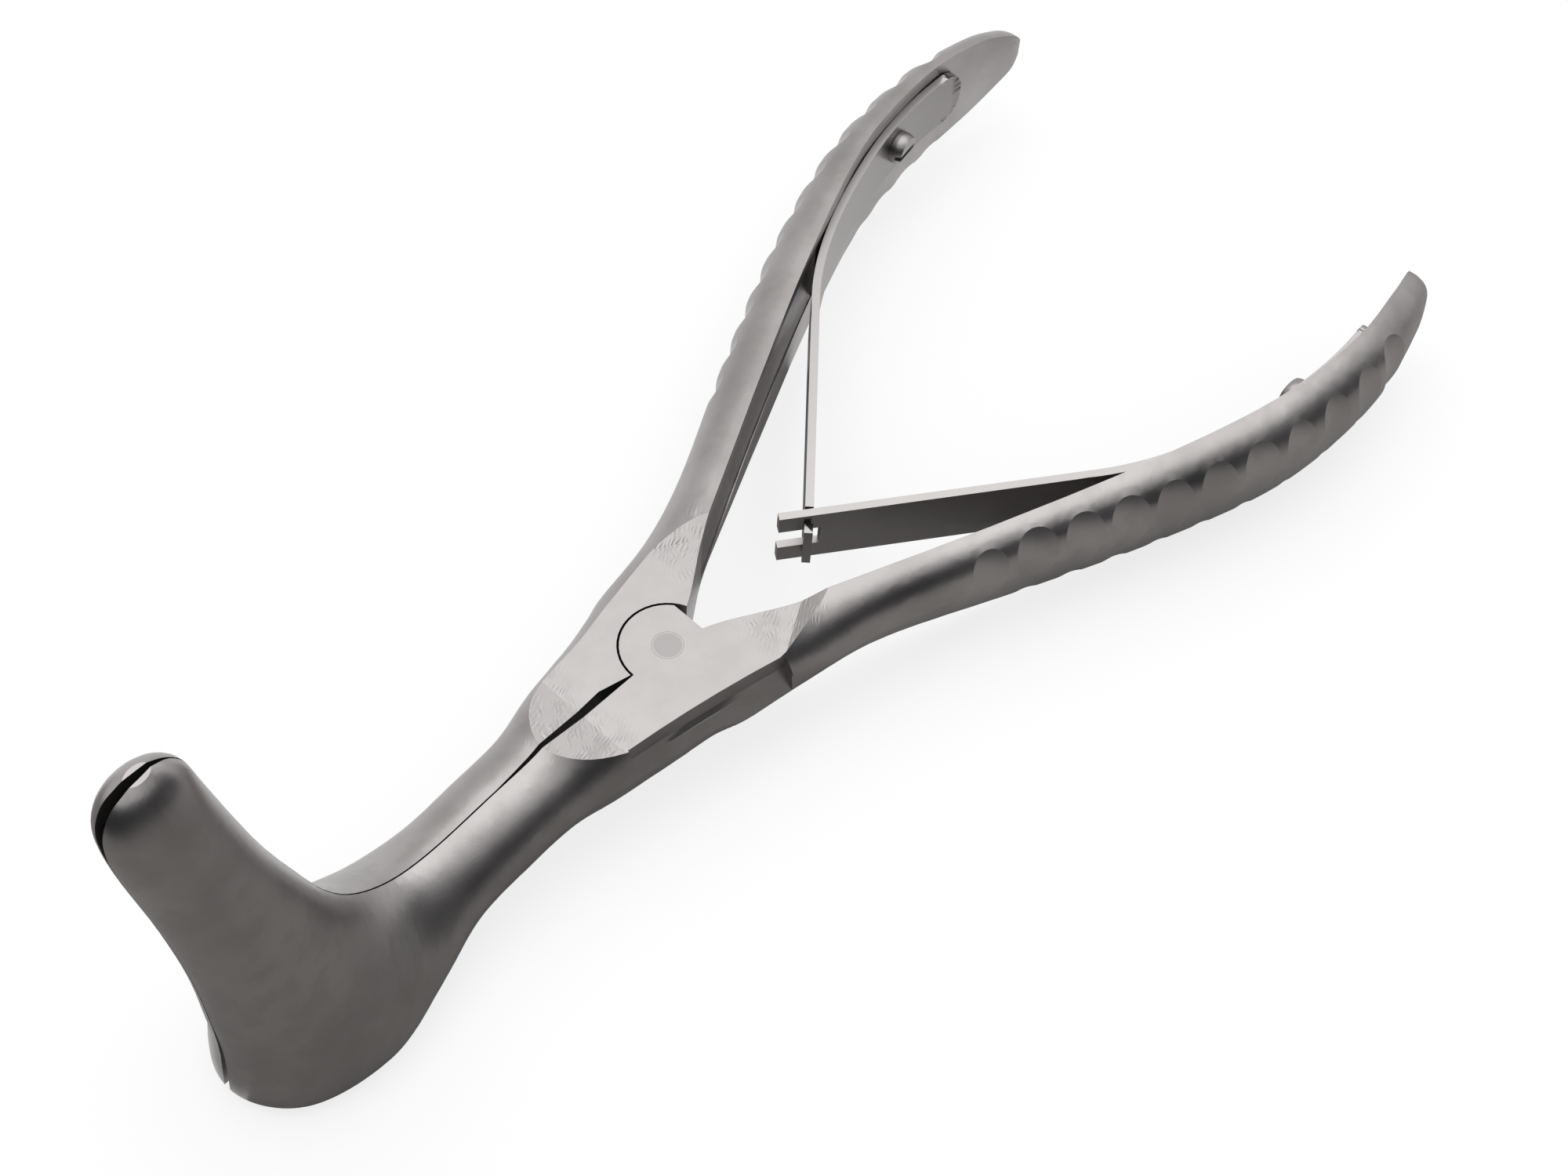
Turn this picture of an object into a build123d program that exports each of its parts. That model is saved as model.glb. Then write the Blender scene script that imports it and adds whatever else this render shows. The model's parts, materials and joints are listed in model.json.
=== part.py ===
from build123d import *
import math
import os

# Nasal speculum with spring handles, in millimetres
# X runs along the joint line towards the blades, Z runs along the pivot towards the blade tips,
# and the origin is on the pivot axis at the ground underside of the lock

# Lock
LOCK_THICKNESS = 8.2
FLAT_REAR = (-8.4, 8.3)
FLAT_REAR_HEADING = -61.0
FLAT_REAR_SLOPE = 20.0
FLAT_FRONT = 11.5
FLAT_FRONT_SLOPE = 8.0
SHOULDER_HEIGHT = 4.0
STEP_DEPTH = 2.2
STEP_BEVEL = 0.5
STEP_BEVEL_ANGLE = 40.0
STEP_EDGE = [(-7.2, 8.9), (2.0, 7.0), (11.2, 5.7)]
DISC_RADIUS = 4.75
DISC_REAR = 3.8
DISC_CLEARANCE = 0.25
LAP_CLEARANCE = 0.06
SEAM_CLEARANCE = 0.16
RELIEF_EDGE = [(4.5, 0.0), (8.5, 0.95), (24.0, 0.0)]

# Pivot pin
PIN_RADIUS = 1.3
PIN_HEAD_RADIUS = 1.55
PIN_HEAD_DEPTH = 0.7
PIN_CLEARANCE = 0.03

# Shank and blade: stations with the X and Z of the flat side's upper end and of its lower end, the bulge,
# and how full the upper and the lower quarter of the back are
FRONT_STATIONS = [
    (55.0, 47.4, 57.4, 47.1, 0.8, 0.55, 0.55),
    (53.5, 46.5, 59.3, 46.1, 1.9, 0.55, 0.55),
    (52.3, 44.6, 60.4, 44.0, 3.0, 0.55, 0.55),
    (51.5, 41.2, 60.6, 41.0, 3.8, 0.55, 0.55),
    (50.2, 35.5, 60.0, 35.3, 4.1, 0.55, 0.55),
    (47.7, 25.5, 58.3, 24.5, 4.25, 0.55, 0.55),
    (44.7, 16.2, 57.0, 13.0, 4.8, 0.55, 0.55),
    (42.9, 11.4, 56.5, 0.0, 6.0, 0.50, 0.52),
    (40.7, 7.6, 56.4, -12.5, 8.3, 0.45, 0.52),
    (37.8, 4.9, 47.5, -14.5, 8.9, 0.38, 0.56),
    (34.4, 3.4, 38.0, -11.2, 7.2, 0.36, 0.60),
    (30.0, 3.1, 30.8, -7.5, 5.7, 0.45, 0.58),
    (24.0, 3.8, 24.3, -6.2, 5.5, 0.52, 0.55),
    (18.0, 4.5, 18.0, -5.6, 5.65, 0.55, 0.52),
    (13.0, 6.3, 13.0, -6.3, 6.65, 0.60, 0.52),
]
RIM_DEPTH = 7.6

# Trough inside the blade: level above the pivot's middle, proximal and distal edge, depth
TROUGH_STATIONS = [
    (-9.0, 36.3, 55.6, 7.5),
    (-5.0, 37.1, 55.5, 7.0),
    (1.0, 39.0, 55.4, 5.6),
    (8.0, 42.2, 55.6, 4.5),
    (15.0, 45.5, 56.2, 3.5),
    (25.0, 48.3, 57.3, 2.3),
    (35.0, 50.9, 58.7, 1.5),
    (42.0, 52.7, 59.2, 0.9),
]

# Where the two blades part a little at tip and heel: X and level of the widest place, how far the opening
# reaches from there, and its depth in each blade
LIP_OPENINGS = [
    (59.8, 45.8, 6.4, 0.42),
    (56.0, -7.0, 12.0, 0.3),
]

# Lock and handle: stations of the inner edge, the thickness on the near half and on the far half, and the
# breadth above and below the middle
# Those off the joint line are turned about the pivot by the skew, the same way round on both halves
HANDLE_SKEW = 2.9
HANDLE_START = -10.0
LOCK_UPPER_FULLNESS = (0.80, 0.50)
HANDLE_UPPER_FULLNESS = 0.58
HANDLE_LOWER_FULLNESS = 0.44
HANDLE_STATIONS = [
    (6.0, 0.0, 7.8, 8.2, 7.0, 6.8),
    (0.5, 0.0, 8.5, 9.4, 7.2, 6.5),
    (-5.0, 1.8, 8.7, 9.2, 6.5, 5.3),
    (-12.0, 6.0, 6.0, 6.0, 5.1, 4.1),
    (-20.0, 9.7, 4.2, 5.0, 4.9, 5.1),
    (-35.0, 16.4, 3.8, 5.2, 5.0, 7.7),
    (-50.0, 22.6, 4.5, 5.3, 5.3, 8.7),
    (-65.0, 27.7, 5.0, 4.7, 5.7, 9.2),
    (-78.0, 29.4, 4.6, 4.0, 5.4, 8.6),
    (-87.0, 28.7, 3.9, 3.5, 4.7, 6.6),
    (-91.5, 27.9, 3.3, 3.2, 3.3, 4.4),
    (-93.6, 27.5, 2.7, 2.7, 2.1, 3.0),
    (-94.6, 27.5, 1.7, 1.7, 0.9, 1.4),
]
CHANNEL_DEPTH = 0.8
CHANNEL_LAND = 1.4
CHANNEL_END = -52.0

# Grip hollows across the outer side of each handle, placed by their distance along the inner edge
HOLLOW_COUNT = 11
HOLLOW_START = 20.6
HOLLOW_PITCH = 5.34
HOLLOW_DEPTH = 0.3
HOLLOW_RADIUS = 6.6
HOLLOW_SHIFT = 5.3
HOLLOW_LEVEL = -0.85

# Leaf springs, seated by distances along the inner edge of the handle
SPRING_THICKNESS = 0.9
SPRING_WIDTH = 7.0
SPRING_CROSSING = (-22.0, -0.25)
SPRING_ANGLE = 38.3
SPRING_OVERHANG = 3.2
SPRING_LEAD = 7.6
SPRING_SEAT = [46.5, 54.0, 62.0, 70.0, 76.3]
SPRING_SEAT_CLEARANCE = 0.12
SPRING_END_FLAT = 1.2
FORK_SLOT = 2.6
FORK_SLOT_LENGTH = 4.4
TONGUE_WIDTH = 2.2
TONGUE_HEAD_WIDTH = 5.2
TONGUE_HEAD_LENGTH = 1.2
TONGUE_CLEARANCE = 0.15

# Spring screws
SCREW_SEAT = 63.8
SCREW_RADIUS = 1.2
SCREW_LENGTH = 2.6
SCREW_HEAD_RADIUS = 1.95
SCREW_HEAD_HEIGHT = 1.5
SCREW_SLOT_WIDTH = 0.6
SCREW_SLOT_DEPTH = 0.7
SCREW_CLEARANCE = 0.05

MID = LOCK_THICKNESS / 2
FAR = 200.0
SAME_LENGTH = 0.01
STATION_STEPS = 3


def d_section(upper, lower, out, share, upper_fullness, lower_fullness):
    """Flat side from upper to lower, with a rounded back whose crest stands out at a share of its length."""
    foot = lower + (upper - lower) * share
    crest = foot + out
    high = [crest, crest + (upper - foot) * upper_fullness, upper + out * upper_fullness, upper]
    low = [lower, lower + out * lower_fullness, crest + (lower - foot) * lower_fullness, crest]
    return Face(Wire([Edge.make_bezier(*low), Edge.make_bezier(*high), Edge.make_line(upper, lower)]))


def eased(rows):
    """Rows of numbers with others set between them on a smooth curve through them all."""
    smooth = []
    last = len(rows) - 1
    for index in range(last):
        before, start, end, after = (rows[min(max(index + step, 0), last)] for step in (-1, 0, 1, 2))
        for part in range(STATION_STEPS):
            share = part / STATION_STEPS
            smooth.append([
                b + (c - a) * share / 2
                + (2 * a - 5 * b + 4 * c - d) * share**2 / 2
                + (3 * b - a - 3 * c + d) * share**3 / 2
                for a, b, c, d in zip(before, start, end, after)
            ])
    return smooth + [rows[last]]


def forging(side, skew):
    """Blade, shank, lock and handle of one half as a single solid bar."""
    rows = []
    for upper_x, upper_z, lower_x, lower_z, bulge, upper_fullness, lower_fullness in FRONT_STATIONS:
        upper = Vector(upper_x, 0, upper_z + MID)
        lower = Vector(lower_x, 0, lower_z + MID)
        rows.append([*upper, *lower, *Vector(0, bulge, 0), 0.5, upper_fullness, lower_fullness])
    for inner, outward, sizes in handle_frames(skew):
        thickness = sizes[side]
        rise, drop = sizes[2:]
        upper = inner + Vector(0, 0, rise)
        lower = inner - Vector(0, 0, drop)
        share = drop / (rise + drop)
        upper_fullness = HANDLE_UPPER_FULLNESS if inner.X < HANDLE_START else LOCK_UPPER_FULLNESS[side]
        fullness = [upper_fullness, HANDLE_LOWER_FULLNESS]
        rows.append([*upper, *lower, *outward * thickness, share, *fullness])
    sections = []
    for row in eased(rows):
        upper, lower, out = (Vector(*row[first:first + 3]) for first in (0, 3, 6))
        sections.append(d_section(upper, lower, out, *row[9:]))
    rim_cut = Pos(FAR / 2, 0, MID - RIM_DEPTH - FAR / 2) * Box(FAR, FAR, FAR)
    return loft(sections) - rim_cut


def trough():
    """Hollow of the blade, open at the rim and shallow towards the tip."""
    sections = []
    for level, proximal, distal, depth in TROUGH_STATIONS:
        centre = Vector((proximal + distal) / 2, 0, level + MID)
        plane = Plane(origin=centre, x_dir=(1, 0, 0), z_dir=(0, 0, 1))
        sections.append(plane * Ellipse((distal - proximal) / 2, depth))
    return loft(sections)


def lip_openings():
    """Very flat balls that leave a shallow dish in the flat side of a blade."""
    dishes = []
    for x, level, reach, depth in LIP_OPENINGS:
        radius = (reach**2 + depth**2) / (2 * depth)
        dishes.append(Pos(x, SEAM_CLEARANCE / 2 + depth - radius, level + MID) * Sphere(radius))
    return dishes


def handle_points(skew):
    """Inner edge of a handle, turned about the pivot wherever it lies off the joint line."""
    return [Vector(x, y, MID).rotate(Axis.Z, skew if y else 0) for x, y, *_ in HANDLE_STATIONS]


def handle_frames(skew):
    """Inner point, outward direction and sizes at each station of the handle."""
    frames = []
    points = handle_points(skew)
    last = len(points) - 1
    for index, station in enumerate(HANDLE_STATIONS):
        along = (points[max(index - 1, 0)] - points[min(index + 1, last)]).normalized()
        frames.append((points[index], Vector(0, 0, 1).cross(along), station[2:]))
    return frames


def channel(skew):
    """Long hollow in the inner face of the handle, between lock and spring."""
    sections = []
    for inner, outward, sizes in handle_frames(skew):
        if CHANNEL_END < inner.X < HANDLE_START:
            plane = Plane(origin=inner, x_dir=outward, z_dir=outward.cross(Vector(0, 0, 1)))
            sections.append(plane * Ellipse(CHANNEL_DEPTH, sizes[2] - CHANNEL_LAND))
    return loft(sections)


def inner_edge(skew):
    """Plan curve of the handle's inner edge, from the lock to the tip."""
    return Spline([point for point in handle_points(skew) if point.X < HANDLE_START])


def seat_frame(skew, distance):
    """Point on the inner edge, direction towards the tip and direction out through the handle."""
    edge = inner_edge(skew)
    point = edge.position_at(distance, PositionMode.LENGTH)
    along = edge.tangent_at(distance, PositionMode.LENGTH)
    return point, along, along.cross(Vector(0, 0, 1))


def thickness_at(side, skew, x):
    """Thickness of the handle at a given X, straight between stations."""
    frames = handle_frames(skew)
    for (front, _, front_sizes), (rear, _, rear_sizes) in zip(frames, frames[1:]):
        if front.X >= x >= rear.X:
            share = (front.X - x) / (front.X - rear.X)
            return front_sizes[side] + (rear_sizes[side] - front_sizes[side]) * share
    return frames[-1][2][side]


def grip_hollows(side, skew):
    """Shallow round hollows across the outer side of the handle."""
    hollows = []
    for index in range(HOLLOW_COUNT):
        point, along, outward = seat_frame(skew, HOLLOW_START + HOLLOW_PITCH * index)
        inside = thickness_at(side, skew, point.X) - HOLLOW_DEPTH + HOLLOW_SHIFT
        centre = point - outward * HOLLOW_SHIFT + Vector(0, 0, HOLLOW_LEVEL)
        plane = Plane(origin=centre, x_dir=outward, z_dir=along)
        hollows.append(plane * Torus(inside + HOLLOW_RADIUS, HOLLOW_RADIUS))
    return hollows


def crossing_frame(sign, skew):
    """Place where the springs cross, X along the leaf towards its free end."""
    slope = Vector(1, 0, 0).rotate(Axis.Z, skew - SPRING_ANGLE)
    x, y = SPRING_CROSSING
    return Plane(origin=Vector(x, sign * y, MID).rotate(Axis.Z, skew), x_dir=slope, z_dir=(0, 0, 1))


def spring_blank(crossing, skew):
    """Leaf spring of full width, straight when free and bent to lie along the handle."""
    slope = crossing.x_dir
    first, handle_line, _ = seat_frame(skew, SPRING_SEAT[0])
    across = Vector(0, 0, 1).cross(handle_line)
    meeting = (crossing.origin - first).dot(across) / slope.dot(across)
    bend = crossing.origin - slope * (meeting - SPRING_LEAD)
    offset = SPRING_THICKNESS / 2 + SPRING_SEAT_CLEARANCE
    seats = []
    for distance in SPRING_SEAT:
        point, along, outward = seat_frame(skew, distance)
        seats.append(point - outward * offset)
    free = Edge.make_line(crossing.origin + slope * SPRING_OVERHANG, bend)
    seated = Edge.make_spline([bend] + seats, tangents=[slope * -1, along])
    leaf = extrude(trace(Wire([free, seated]), SPRING_THICKNESS), SPRING_WIDTH / 2, both=True)
    near_end = leaf.edges().sort_by_distance(seats[-1])
    corners = [edge for edge in near_end if abs(edge.length / SPRING_THICKNESS - 1) < SAME_LENGTH][:2]
    return fillet(corners, (SPRING_WIDTH - SPRING_END_FLAT) / 2)


def screw_seat(skew):
    """Frame on the inner edge at the spring screw, with Z pointing away from the handle."""
    point, along, outward = seat_frame(skew, SCREW_SEAT)
    return Plane(origin=point, x_dir=along, z_dir=outward * -1)


def screw_hole(skew):
    """Hole for the spring screw, through the leaf and blind in the handle."""
    depth = SCREW_LENGTH + SCREW_CLEARANCE
    hole = Cylinder(SCREW_RADIUS + SCREW_CLEARANCE, 2 * depth)
    return screw_seat(skew) * hole


def fork_spring(skew):
    """Leaf on the near handle, with its free end slotted like a fork."""
    crossing = crossing_frame(1, skew)
    centre = SPRING_OVERHANG - FORK_SLOT_LENGTH / 2
    slot = Pos(centre, 0, 0) * Box(FORK_SLOT_LENGTH, 4 * SPRING_THICKNESS, FORK_SLOT)
    return spring_blank(crossing, skew) - crossing * slot - screw_hole(skew)


def tongue_spring(skew):
    """Leaf on the far handle, narrowed to a tongue whose cross head hooks over the fork."""
    crossing = crossing_frame(-1, skew)
    reach = SPRING_THICKNESS * 0.65 + TONGUE_CLEARANCE
    head_end = reach + TONGUE_HEAD_LENGTH
    spare = SPRING_OVERHANG * 2
    tip = Pos(head_end + spare / 2, 0, 0) * Box(spare, spare, FAR)
    leaf = spring_blank(crossing, skew) - crossing * tip
    for sign in (1, -1):
        tongue_side = sign * (TONGUE_WIDTH + FAR) / 2
        head_side = sign * (TONGUE_HEAD_WIDTH + FAR) / 2
        leaf -= crossing * Pos(0, 0, tongue_side) * Box(2 * reach, spare, FAR)
        leaf -= crossing * Pos(reach + head_end, 0, head_side) * Box(2 * head_end, spare, FAR)
    return leaf - screw_hole(skew)


def spring_screw(skew):
    """Slotted screw with a domed head, seated on the leaf."""
    under_head = SPRING_SEAT_CLEARANCE + SPRING_THICKNESS + SCREW_CLEARANCE
    length = SCREW_LENGTH + under_head
    shank = Pos(0, 0, under_head - length / 2) * Cylinder(SCREW_RADIUS, length)
    rim = SCREW_HEAD_HEIGHT / 3
    profile = make_face(
        Line((0, 0), (SCREW_HEAD_RADIUS, 0))
        + Line((SCREW_HEAD_RADIUS, 0), (SCREW_HEAD_RADIUS, rim))
        + CenterArc((0, rim), SCREW_HEAD_RADIUS, 0, 90)
        + Line((0, rim + SCREW_HEAD_RADIUS), (0, 0))
    )
    head = revolve(Plane.XZ * profile, Axis.Z)
    squeeze = Pos(0, 0, SCREW_HEAD_HEIGHT + FAR / 2) * Box(FAR, FAR, FAR)
    slot_level = SCREW_HEAD_HEIGHT - SCREW_SLOT_DEPTH / 2
    slot = Pos(0, 0, slot_level) * Box(3 * SCREW_HEAD_RADIUS, SCREW_SLOT_WIDTH, SCREW_SLOT_DEPTH)
    return screw_seat(skew) * (shank + Pos(0, 0, under_head) * (head - squeeze - slot))


def ground_side(x, y, heading, slope, level, up):
    """All that lies past a line in plan and beyond a level, with a sloping shoulder at the line."""
    into = Vector(1, 0, 0).rotate(Axis.Z, heading)
    plane = Plane(origin=(x, y, level), x_dir=into, z_dir=into.cross(Vector(0, 0, up)))
    run = SHOULDER_HEIGHT / math.tan(math.radians(slope))
    outline = [(0, 0), (FAR, 0), (FAR, SHOULDER_HEIGHT), (-run, SHOULDER_HEIGHT)]
    profile = make_face(Polyline(*outline, close=True))
    return extrude(plane * profile, FAR, both=True)


def lock_flats():
    """Ground away above and below the lock, with sloping shoulders at the ends."""
    tools = []
    for level, up in ((LOCK_THICKNESS, 1), (0, -1)):
        rear_side = ground_side(*FLAT_REAR, FLAT_REAR_HEADING, FLAT_REAR_SLOPE, level, up)
        front_side = ground_side(FLAT_FRONT, 0, 180, FLAT_FRONT_SLOPE, level, up)
        tools.append(rear_side & front_side)
    return tools


def lock_step():
    """Low ledge along the outer side of the lock, standing on the plane it is cut down to."""
    start, middle, end = STEP_EDGE
    reach = start[1] * 2
    outline = (
        ThreePointArc(start, middle, end)
        + Line(end, (end[0], reach))
        + Line((end[0], reach), (start[0], reach))
        + Line((start[0], reach), start)
    )
    floor = make_face(outline)
    bevel = extrude(floor, amount=-STEP_BEVEL, taper=STEP_BEVEL_ANGLE)
    return extrude(floor, STEP_DEPTH * 3) + bevel


def half(side, disc_up, skew):
    """One forging on the +Y side, with its lap disc in the upper or the lower layer."""
    layer = 1 if disc_up else -1
    lap_level = MID + layer * LAP_CLEARANCE / 2
    body = forging(side, skew) - channel(skew) - grip_hollows(side, skew) - screw_hole(skew)
    body -= Pos(0, SEAM_CLEARANCE / 2 - FAR / 2, 0) * Box(FAR, FAR, FAR)
    body -= trough()
    body -= lip_openings()
    body -= lock_flats()
    step = Pos(0, 0, LOCK_THICKNESS - STEP_DEPTH) * lock_step()
    body -= step if disc_up else mirror(step, Plane.XY.offset(MID))
    recess = Cylinder(DISC_RADIUS + DISC_CLEARANCE, FAR)
    body -= Pos(0, 0, lap_level - layer * FAR / 2) * recess
    thickness = MID - LAP_CLEARANCE / 2
    rear = Pos(-DISC_REAR - FAR / 2, 0, 0) * Box(FAR, FAR, FAR)
    body += Pos(0, 0, lap_level + layer * thickness / 2) * Cylinder(DISC_RADIUS, thickness) - rear
    relief = extrude(make_face(Polyline(*RELIEF_EDGE, close=True)), FAR)
    body -= Pos(0, 0, lap_level - (FAR if disc_up else 0)) * relief
    return body - pin_shape(PIN_CLEARANCE)


def pin_shape(extra):
    """Rivet with flared ends, or the hole for it when made larger all round."""
    radius = PIN_RADIUS + extra
    flare = PIN_HEAD_RADIUS - PIN_RADIUS
    shank = Pos(0, 0, MID) * Cylinder(radius, LOCK_THICKNESS)
    upper = Pos(0, 0, LOCK_THICKNESS - PIN_HEAD_DEPTH / 2) * Cone(radius, radius + flare, PIN_HEAD_DEPTH)
    lower = Pos(0, 0, PIN_HEAD_DEPTH / 2) * Cone(radius + flare, radius, PIN_HEAD_DEPTH)
    return shank + upper + lower


def build():
    """All pieces of the instrument by node name."""
    return {
        "near_half": half(0, True, HANDLE_SKEW),
        "far_half": mirror(half(1, False, -HANDLE_SKEW), Plane.XZ),
        "pivot_pin": pin_shape(0),
        "fork_spring": fork_spring(HANDLE_SKEW),
        "tongue_spring": mirror(tongue_spring(-HANDLE_SKEW), Plane.XZ),
        "fork_spring_screw": spring_screw(HANDLE_SKEW),
        "tongue_spring_screw": mirror(spring_screw(-HANDLE_SKEW), Plane.XZ),
    }


os.makedirs("parts", exist_ok=True)
for name, piece in build().items():
    export_step(piece, "parts/" + name + ".step")
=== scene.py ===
import bpy
import json
import math
from mathutils import Matrix, Vector

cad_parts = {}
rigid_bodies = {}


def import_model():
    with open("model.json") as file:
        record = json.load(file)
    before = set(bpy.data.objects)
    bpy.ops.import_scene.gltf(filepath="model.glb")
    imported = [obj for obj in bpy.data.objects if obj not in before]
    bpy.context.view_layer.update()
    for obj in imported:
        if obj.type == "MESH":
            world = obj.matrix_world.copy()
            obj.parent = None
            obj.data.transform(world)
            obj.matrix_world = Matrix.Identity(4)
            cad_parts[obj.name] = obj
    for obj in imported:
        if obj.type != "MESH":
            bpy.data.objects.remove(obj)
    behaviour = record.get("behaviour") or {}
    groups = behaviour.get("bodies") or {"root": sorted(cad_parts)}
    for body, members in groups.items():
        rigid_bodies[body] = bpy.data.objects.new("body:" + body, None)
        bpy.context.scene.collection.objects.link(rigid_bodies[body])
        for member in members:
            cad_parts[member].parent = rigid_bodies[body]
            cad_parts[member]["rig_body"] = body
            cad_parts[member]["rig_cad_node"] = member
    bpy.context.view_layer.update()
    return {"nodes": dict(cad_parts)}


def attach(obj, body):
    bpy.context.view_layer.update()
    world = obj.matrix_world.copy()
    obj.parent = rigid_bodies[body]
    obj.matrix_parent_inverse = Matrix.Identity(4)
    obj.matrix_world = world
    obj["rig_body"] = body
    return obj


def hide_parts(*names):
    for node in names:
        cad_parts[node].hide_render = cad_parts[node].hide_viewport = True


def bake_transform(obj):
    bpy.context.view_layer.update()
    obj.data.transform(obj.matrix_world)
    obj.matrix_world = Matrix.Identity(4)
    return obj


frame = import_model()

# Nasal speculum with spring handles: finishes, springs cut into slices, studio and camera, in metres
# X runs along the joint line towards the blades, Z along the pivot towards the blade tips

MM = 0.001

# Lock and springs, as in the solids
LOCK_THICKNESS = 8.2 * MM
SPRING_CROSSING = Vector((-21.96, -1.36, 4.1)) * MM
FORK_SPRING_ANGLE = math.radians(35.4)
TONGUE_SPRING_ANGLE = math.radians(41.2)
FORK_SPRING_REACH = 30.5 * MM
TONGUE_SPRING_REACH = 29.0 * MM
SPRING_CUTS = 16
STEP_START = Vector((-7.2, 8.9, 6.0)) * MM
STEP_END = Vector((12.7, 5.45, 6.0)) * MM
STEP_INSET = 0.2 * MM
STEP_SLOPE = math.radians(52)
STEP_SHADE = math.radians(20)
STEP_CUTTER = (6.0 * MM, 4.0 * MM)
SHARP_ANGLE = math.radians(30)
SAME_FACE = 0.995
JOIN_DISTANCE = 1e-7
SPOTS_PER_METRE = 1e6

# Steel colours
BLASTED_DARK = (0.305, 0.291, 0.287, 1)
BLASTED_LIGHT = (0.400, 0.383, 0.378, 1)
BLOTCH = (0.300, 0.284, 0.274, 1)
GROUND_DARK = (0.372, 0.356, 0.351, 1)
GROUND_LIGHT = (0.400, 0.383, 0.378, 1)
# Painted highlight: lighter colour on the lock's slightly sloped shoulder facets, so they look as bright
# as the flats
RAMP_PAINTED_HIGHLIGHT = (0.470, 0.450, 0.445, 1)
# Painted shade: darker colour on the flat meeting faces beside the joint, where shade falls between the
# halves
MEETING_FACE_PAINTED_SHADE = (0.200, 0.190, 0.186, 1)
RIVET_END = (0.300, 0.288, 0.284, 1)
RIVET_EDGE = (0.430, 0.414, 0.408, 1)
LEAF_DARK = (0.230, 0.219, 0.213, 1)
LEAF_LIGHT = (0.300, 0.287, 0.280, 1)
LEAF_EDGE = (0.420, 0.404, 0.398, 1)

# Finishes
LOCK_MIDDLE = 1.6 * MM
LOCK_REACH = 15.0 * MM
MARK_START = 8.0 * MM
MARK_PITCH = 0.42 * MM
MARK_RELIEF = 1.2
INNER_DEPTH = 0.9 * MM
RIVET_RADIUS = 1.55 * MM
RIVET_RIM = 0.10 * MM

# Camera
CAMERA_PLACE = (0.09779, 0.09271, 0.21220)
CAMERA_TURN = (34.790, -2.813, 132.915)
CAMERA_LENS = 57.6

# Studio
FLOOR_LEVEL = -5.2 * MM
FLOOR_SIZE = 3.0
SOFTBOX_AIM = Vector((-0.15, -0.20, 0.95))
SOFTBOX_DISTANCE = 0.7
SOFTBOX_SIZE = (1.02, 0.71)
SOFTBOX_POWER = 2.8
WORLD_LEVEL = 0.85
CARD_RADIUS = 0.42
CARD_HEIGHT = 0.40
CARD_FROM = -32.0
CARD_TO = 155.0
CARD_STEPS = 24
MAT_RISE = 0.4 * MM
MAT_EDGE = 0.80
MATS = {
    "rear_mat": ((-MAT_EDGE, -22 * MM), (-15 * MM, MAT_EDGE), (0.42, 0.413, 0.406, 1)),
    "side_mat": ((-15 * MM, 2 * MM), (58 * MM, MAT_EDGE), (0.28, 0.274, 0.268, 1)),
    "front_mat": ((58 * MM, -MAT_EDGE), (165 * MM, MAT_EDGE), (0.30, 0.293, 0.286, 1)),
    "outer_mat": ((165 * MM, -MAT_EDGE), (MAT_EDGE, MAT_EDGE), (0.03, 0.03, 0.036, 1)),
}


class Value:
    """A shader value that adds Math nodes when it is used in an expression."""

    def __init__(self, finish, socket):
        self.finish = finish
        self.socket = socket

    def math(self, operation, *values):
        inputs = dict(enumerate(values))
        return self.finish.node("ShaderNodeMath", {"operation": operation}, inputs)

    def __add__(self, other):
        return self.math("ADD", self, other)

    def __sub__(self, other):
        return self.math("SUBTRACT", self, other)

    def __rsub__(self, other):
        return self.math("SUBTRACT", other, self)

    def __mul__(self, other):
        return self.math("MULTIPLY", self, other)

    def __abs__(self):
        return self.math("ABSOLUTE", self)

    def sine(self):
        return self.math("SINE", self)

    def root(self):
        return self.math("SQRT", self)

    def above(self, level, width):
        """Rises from 0 to 1 over a width centred on the level."""
        inputs = {0: self, 1: level - width / 2, 2: level + width / 2}
        return self.finish.node("ShaderNodeMapRange", {"interpolation_type": "SMOOTHSTEP"}, inputs)

    __radd__ = __add__
    __rmul__ = __mul__


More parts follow.
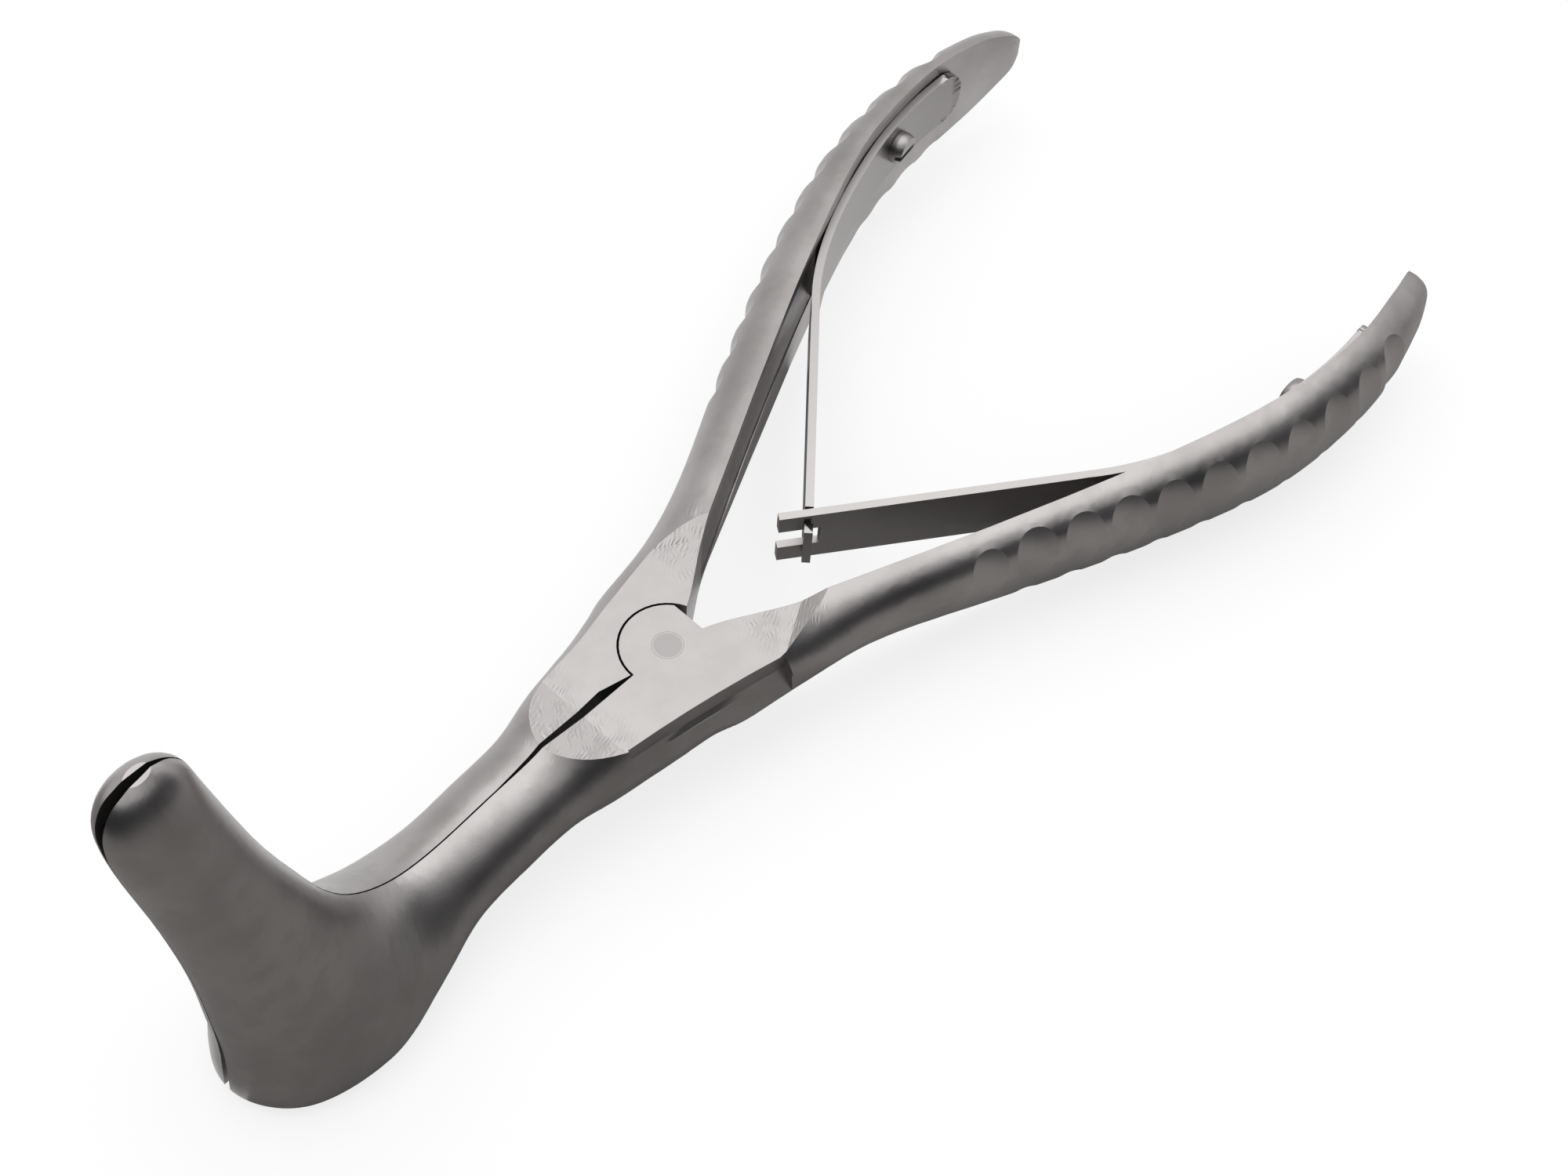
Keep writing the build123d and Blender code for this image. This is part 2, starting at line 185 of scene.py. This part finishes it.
class Finish:
    """A material that is put together from nodes."""

    def __init__(self, name):
        self.material = bpy.data.materials.new(name)
        self.material.use_nodes = True
        self.tree = self.material.node_tree
        self.tree.nodes.clear()

    def node(self, kind, settings=(), inputs=(), output=0):
        """Adds a node, with its settings first and then the values or links of its sockets."""
        made = self.tree.nodes.new(kind)
        for name, value in dict(settings).items():
            setattr(made, name, value)
        for name, value in dict(inputs).items():
            if isinstance(value, Value):
                self.tree.links.new(value.socket, made.inputs[name])
            else:
                made.inputs[name].default_value = value
        return Value(self, made.outputs[output]) if made.outputs else None

    def blend_colours(self, share, first, second):
        """Mixes two colours, each a tuple or a value."""
        inputs = {0: share, 6: first, 7: second}
        return self.node("ShaderNodeMix", {"data_type": "RGBA"}, inputs, 2)

    def place(self):
        """The point on the piece, in metres."""
        return self.node("ShaderNodeTexCoord", output="Object")

    def coordinate(self, axis):
        """Distance along an axis of the piece, in metres."""
        return self.node("ShaderNodeSeparateXYZ", inputs={0: self.place()}, output=axis)

    def facing(self, axis):
        """How far the surface faces an axis of the piece."""
        normal = self.node("ShaderNodeTexCoord", output="Normal")
        return self.node("ShaderNodeSeparateXYZ", inputs={0: normal}, output=axis)

    def noise(self, scale, detail=2.0):
        """Uneven pattern with the given number of patches to a metre."""
        inputs = {"Vector": self.place(), "Scale": scale, "Detail": detail}
        return self.node("ShaderNodeTexNoise", inputs=inputs)

    def bump(self, height, strength, distance):
        """Surface direction roughened by a height."""
        inputs = {"Height": height, "Strength": strength, "Distance": distance}
        return self.node("ShaderNodeBump", inputs=inputs)

    def surface(self, **inputs):
        """Ends the material in one metal surface."""
        names = {name.replace("_", " "): value for name, value in inputs.items()}
        shader = self.node("ShaderNodeBsdfPrincipled", inputs=names)
        self.node("ShaderNodeOutputMaterial", inputs={"Surface": shader})
        return self.material


def lock_marks(finish):
    """Fine wavy grinding marks on the lock's shoulders, as a height from 0 to 1."""
    warp = finish.noise(300.0, 2.0) * 0.0022
    across = finish.coordinate("X") * 0.62 - finish.coordinate("Y") * 0.78 + warp
    ripple = (across * (2 * math.pi / MARK_PITCH)).sine()
    return ripple * finish.noise(700.0, 1.0).above(0.5, 0.25)


def satin_steel():
    """Bead-blasted forging with its lock faces ground flat, a painted highlight on the lock's sloped
    shoulders and painted shade on the meeting faces by the joint.
    """
    finish = Finish("satin_steel")
    grain = finish.noise(5200.0)
    clouds = finish.noise(95.0, 4.0)
    blotches = finish.noise(420.0, 3.0)
    flat = abs(finish.facing("Z")).above(0.988, 0.012)
    shoulder = abs(finish.facing("Z")).above(0.90, 0.10)
    along = abs(finish.coordinate("X") - LOCK_MIDDLE)
    lock = 1 - along.above(LOCK_REACH, 3 * MM)
    ground = flat * lock
    marks = lock_marks(finish) * shoulder * lock * along.above(MARK_START, 3 * MM)
    blasted = finish.blend_colours(clouds.above(0.5, 0.5), BLASTED_DARK, BLASTED_LIGHT)
    mottled = finish.blend_colours(blotches.above(0.56, 0.2) * 0.35, blasted, BLOTCH)
    bright = finish.blend_colours(blotches.above(0.5, 0.6), GROUND_DARK, GROUND_LIGHT)
    ground_colour = finish.blend_colours(ground, mottled, bright)
    # Painted highlight: the slightly sloped shoulder facets of the lock are painted lighter
    ramp_highlight = abs(finish.facing("Z")).above(0.975, 0.02) * (1 - flat) * lock
    ground_colour = finish.blend_colours(ramp_highlight, ground_colour, RAMP_PAINTED_HIGHLIGHT)
    # Painted shade: the flat meeting faces close to the joint are painted darker, and made a little
    # rougher
    near_joint = 1 - abs(finish.coordinate("Y")).above(INNER_DEPTH, 0.2 * MM)
    inner = abs(finish.facing("Y")).above(0.97, 0.03) * near_joint
    colour = finish.blend_colours(inner, ground_colour, MEETING_FACE_PAINTED_SHADE)
    roughness = 0.33 + clouds * 0.08 + ground * 0.04 + inner * 0.1
    relief = grain * 0.35 + blotches * 0.5 + marks * MARK_RELIEF
    normal = finish.bump(relief, 0.3, 0.00006)
    return finish.surface(Base_Color=colour, Metallic=1.0, Roughness=roughness, Normal=normal)


def rivet_steel():
    """Rivet end, a little darker than the faces it is ground flush with, inside a thin bright rim."""
    finish = Finish("rivet_steel")
    x, y = finish.coordinate("X"), finish.coordinate("Y")
    rim = (x * x + y * y).root().above(RIVET_RADIUS - RIVET_RIM, RIVET_RIM)
    colour = finish.blend_colours(rim, RIVET_END, RIVET_EDGE)
    normal = finish.bump(finish.noise(5200.0), 0.2, 0.00003)
    return finish.surface(Base_Color=colour, Metallic=1.0, Roughness=0.38, Normal=normal)


def spring_steel():
    """Rolled spring leaf with bright sheared edges, darker than the forgings."""
    finish = Finish("spring_steel")
    grain = finish.noise(3800.0)
    clouds = finish.noise(150.0, 3.0)
    face = finish.blend_colours(clouds, LEAF_DARK, LEAF_LIGHT)
    edge = abs(finish.facing("Z")).above(0.8, 0.2)
    colour = finish.blend_colours(edge, face, LEAF_EDGE)
    normal = finish.bump(grain, 0.15, 0.00003)
    return finish.surface(Base_Color=colour, Metallic=1.0, Roughness=0.30 + clouds * 0.08, Normal=normal)


def paint(piece, material):
    """Gives a piece one material."""
    piece.data.materials.clear()
    piece.data.materials.append(material)


def select_only(piece):
    """Makes one piece the only one that operators act on."""
    bpy.ops.object.select_all(action="DESELECT")
    piece.select_set(True)
    bpy.context.view_layer.objects.active = piece


def copied(node, name, material):
    """Copy of a solid's mesh with its corners joined, to stand in for it."""
    piece = frame["nodes"][node].copy()
    piece.data = piece.data.copy()
    piece.parent = None
    piece.name = name
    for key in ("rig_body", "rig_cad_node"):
        del piece[key]
    bpy.context.scene.collection.objects.link(piece)
    paint(piece, material)
    select_only(piece)
    bpy.ops.object.mode_set(mode="EDIT")
    bpy.ops.mesh.select_all(action="SELECT")
    bpy.ops.mesh.remove_doubles(threshold=JOIN_DISTANCE)
    bpy.ops.object.mode_set(mode="OBJECT")
    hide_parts(node)
    return piece


def spot(place):
    """A corner's place rounded to a micrometre."""
    return tuple(round(value * SPOTS_PER_METRE) for value in place)


def keep_shading(half, source, slope, shade):
    """Gives a cut piece the smooth shading that it had, and its new slope the shade of the side below."""
    known = {}
    mesh = source.data
    for face in mesh.polygons:
        for loop in face.loop_indices:
            place = mesh.vertices[mesh.loops[loop].vertex_index].co
            smooth = mesh.corner_normals[loop].vector
            known.setdefault(spot(place), []).append((face.normal, smooth))
    mesh = half.data
    normals = []
    for face in mesh.polygons:
        for loop in face.loop_indices:
            place = mesh.vertices[mesh.loops[loop].vertex_index].co
            choices = known.get(spot(place), [])
            best = max(choices, key=lambda pair: pair[0].dot(face.normal), default=None)
            matched = best and best[0].dot(face.normal) > SAME_FACE
            flat = shade if face.normal.dot(slope) > SAME_FACE else face.normal
            normals.append(best[1] if matched else flat)
    bpy.ops.object.shade_smooth()
    mesh.normals_split_custom_set(normals)


def sloped_half(node, name, body, turned, material):
    """One half with its side sloping away right from the foot of the lock's step."""
    half = copied(node, name, material)
    along = (STEP_END - STEP_START).normalized()
    outward = Vector((0, 0, 1)).cross(along)
    down = outward * math.cos(STEP_SLOPE) - Vector((0, 0, 1)) * math.sin(STEP_SLOPE)
    reach, height = STEP_CUTTER
    foot = (STEP_START + STEP_END) / 2 - outward * STEP_INSET
    clear = along.cross(down)
    bpy.ops.object.select_all(action="DESELECT")
    bpy.ops.mesh.primitive_cube_add(size=1)
    cutter = bpy.context.active_object
    size = Matrix.Diagonal(((STEP_END - STEP_START).length, reach, height, 1))
    turn = Matrix((along, down, clear)).transposed().to_4x4()
    place = Matrix.Translation(foot + down * reach / 2 + clear * height / 2)
    cutter.matrix_world = place @ turn @ size
    if turned:
        middle = Matrix.Translation((0, 0, LOCK_THICKNESS / 2))
        turn_over = middle @ Matrix.Rotation(math.pi, 4, "X") @ middle.inverted()
        cutter.matrix_world = turn_over @ cutter.matrix_world
    bpy.context.view_layer.update()
    select_only(half)
    cut = half.modifiers.new("step", "BOOLEAN")
    cut.object = cutter
    cut.solver = "EXACT"
    bpy.ops.object.modifier_apply(modifier=cut.name)
    bpy.data.objects.remove(cutter)
    bpy.ops.mesh.customdata_custom_splitnormals_clear()
    shade = outward * math.cos(STEP_SHADE) + Vector((0, 0, 1)) * math.sin(STEP_SHADE)
    if turned:
        clear, shade = (Vector((side.x, -side.y, -side.z)) for side in (clear, shade))
    keep_shading(half, frame["nodes"][node], clear, shade)
    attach(half, body)
    return half


def bending_spring(node, name, angle, reach, material):
    """Leaf spring cut across into slices along its reach, its hooked tip midway between the handles."""
    leaf = copied(node, name, material)
    towards_tip = Vector((math.cos(angle), math.sin(angle), 0))
    bend = SPRING_CROSSING - towards_tip * reach
    bpy.ops.object.mode_set(mode="EDIT")
    for cut in range(1, SPRING_CUTS):
        bpy.ops.mesh.select_all(action="SELECT")
        place = bend + towards_tip * reach * cut / SPRING_CUTS
        bpy.ops.mesh.bisect(plane_co=place, plane_no=towards_tip)
    bpy.ops.object.mode_set(mode="OBJECT")
    bpy.ops.object.shade_smooth_by_angle(angle=SHARP_ANGLE)
    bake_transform(leaf)
    return leaf


def floor():
    """Pale floor under the instrument, white where it is seen and still taking the shadow."""
    bpy.ops.object.select_all(action="DESELECT")
    bpy.ops.mesh.primitive_plane_add(size=FLOOR_SIZE, location=(0, 0, FLOOR_LEVEL))
    plane = bpy.context.active_object
    plane.name = "floor"
    finish = Finish("floor")
    ray = {name: finish.node("ShaderNodeLightPath", output=name) for name in
           ("Is Camera Ray", "Is Glossy Ray", "Is Transmission Ray")}
    seen = ray["Is Camera Ray"] + ray["Is Glossy Ray"] + ray["Is Transmission Ray"]
    paper = finish.node("ShaderNodeBsdfDiffuse", inputs={"Color": (0.9, 0.9, 0.9, 1)})
    white = finish.node("ShaderNodeEmission", inputs={"Color": (1, 1, 1, 1), "Strength": 1.0})
    mixed = finish.node("ShaderNodeMixShader", inputs={0: seen * 0.75, 1: paper, 2: white})
    finish.node("ShaderNodeOutputMaterial", inputs={"Surface": mixed})
    paint(plane, finish.material)


def flag(piece, name, colour):
    """Makes a piece a dull flag that only polished surfaces see."""
    piece.name = name
    piece.visible_camera = False
    piece.visible_diffuse = False
    piece.visible_shadow = False
    finish = Finish(name)
    dull = finish.node("ShaderNodeBsdfDiffuse", inputs={"Color": colour})
    finish.node("ShaderNodeOutputMaterial", inputs={"Surface": dull})
    paint(piece, finish.material)


def dark_card():
    """Curved dark card standing on the camera's side, open at top and bottom."""
    bpy.ops.object.select_all(action="DESELECT")
    middle = (FLOOR_LEVEL + CARD_HEIGHT) / 2
    bpy.ops.mesh.primitive_cylinder_add(
        vertices=CARD_STEPS * 3, radius=CARD_RADIUS, depth=CARD_HEIGHT - FLOOR_LEVEL,
        end_fill_type="NOTHING", location=(0, 0, middle)
    )
    card = bpy.context.active_object
    bpy.ops.object.mode_set(mode="EDIT")
    for kept in (CARD_FROM + 90, CARD_TO - 90):
        side = (math.cos(math.radians(kept)), math.sin(math.radians(kept)), 0)
        bpy.ops.mesh.select_all(action="SELECT")
        bpy.ops.mesh.bisect(plane_co=(0, 0, 0), plane_no=side, clear_inner=True)
    bpy.ops.object.mode_set(mode="OBJECT")
    flag(card, "dark_card", (0.02, 0.021, 0.026, 1))


def mat(name, low, high, colour):
    """Dull mat lying on the floor between two corners."""
    bpy.ops.object.select_all(action="DESELECT")
    middle = [(a + b) / 2 for a, b in zip(low, high)]
    bpy.ops.mesh.primitive_plane_add(size=1, location=(*middle, FLOOR_LEVEL + MAT_RISE))
    bpy.context.active_object.scale = (high[0] - low[0], high[1] - low[1], 1)
    bpy.ops.object.transform_apply(location=True, rotation=False, scale=True)
    flag(bpy.context.active_object, name, colour)


def softbox():
    """Large soft lamp overhead."""
    lamp = bpy.data.lights.new("softbox", "AREA")
    lamp.shape = "RECTANGLE"
    lamp.size, lamp.size_y = SOFTBOX_SIZE
    lamp.energy = SOFTBOX_POWER
    light = bpy.data.objects.new("softbox", lamp)
    light.location = SOFTBOX_AIM.normalized() * SOFTBOX_DISTANCE
    light.rotation_euler = SOFTBOX_AIM.to_track_quat("Z", "Y").to_euler()
    bpy.context.scene.collection.objects.link(light)


def surroundings():
    """Even pale light from all round."""
    world = bpy.data.worlds.new("studio")
    bpy.context.scene.world = world
    world.use_nodes = True
    background = world.node_tree.nodes["Background"]
    background.inputs["Color"].default_value = (1, 1, 1, 1)
    background.inputs["Strength"].default_value = WORLD_LEVEL


def camera():
    """Camera at the photograph's viewing angle."""
    lens = bpy.data.cameras.new("camera")
    lens.lens = CAMERA_LENS
    lens.sensor_width = 36.0
    lens.clip_start = 0.01
    viewer = bpy.data.objects.new("camera", lens)
    viewer.location = CAMERA_PLACE
    viewer.rotation_euler = [math.radians(angle) for angle in CAMERA_TURN]
    bpy.context.scene.collection.objects.link(viewer)
    bpy.context.scene.camera = viewer


satin = satin_steel()
for screw in ("fork_spring_screw", "tongue_spring_screw"):
    paint(frame["nodes"][screw], satin)
sloped_half("near_half", "near_forging", "near", False, satin)
sloped_half("far_half", "far_forging", "far", True, satin)
paint(frame["nodes"]["pivot_pin"], rivet_steel())
leaf_steel = spring_steel()
bending_spring(
    "fork_spring", "fork_leaf", -FORK_SPRING_ANGLE, FORK_SPRING_REACH, leaf_steel
)
bending_spring(
    "tongue_spring", "tongue_leaf", TONGUE_SPRING_ANGLE, TONGUE_SPRING_REACH, leaf_steel
)
floor()
dark_card()
for mat_name, (low, high, colour) in MATS.items():
    mat(mat_name, low, high, colour)
softbox()
surroundings()
camera()
bpy.context.scene.view_settings.view_transform = "Standard"
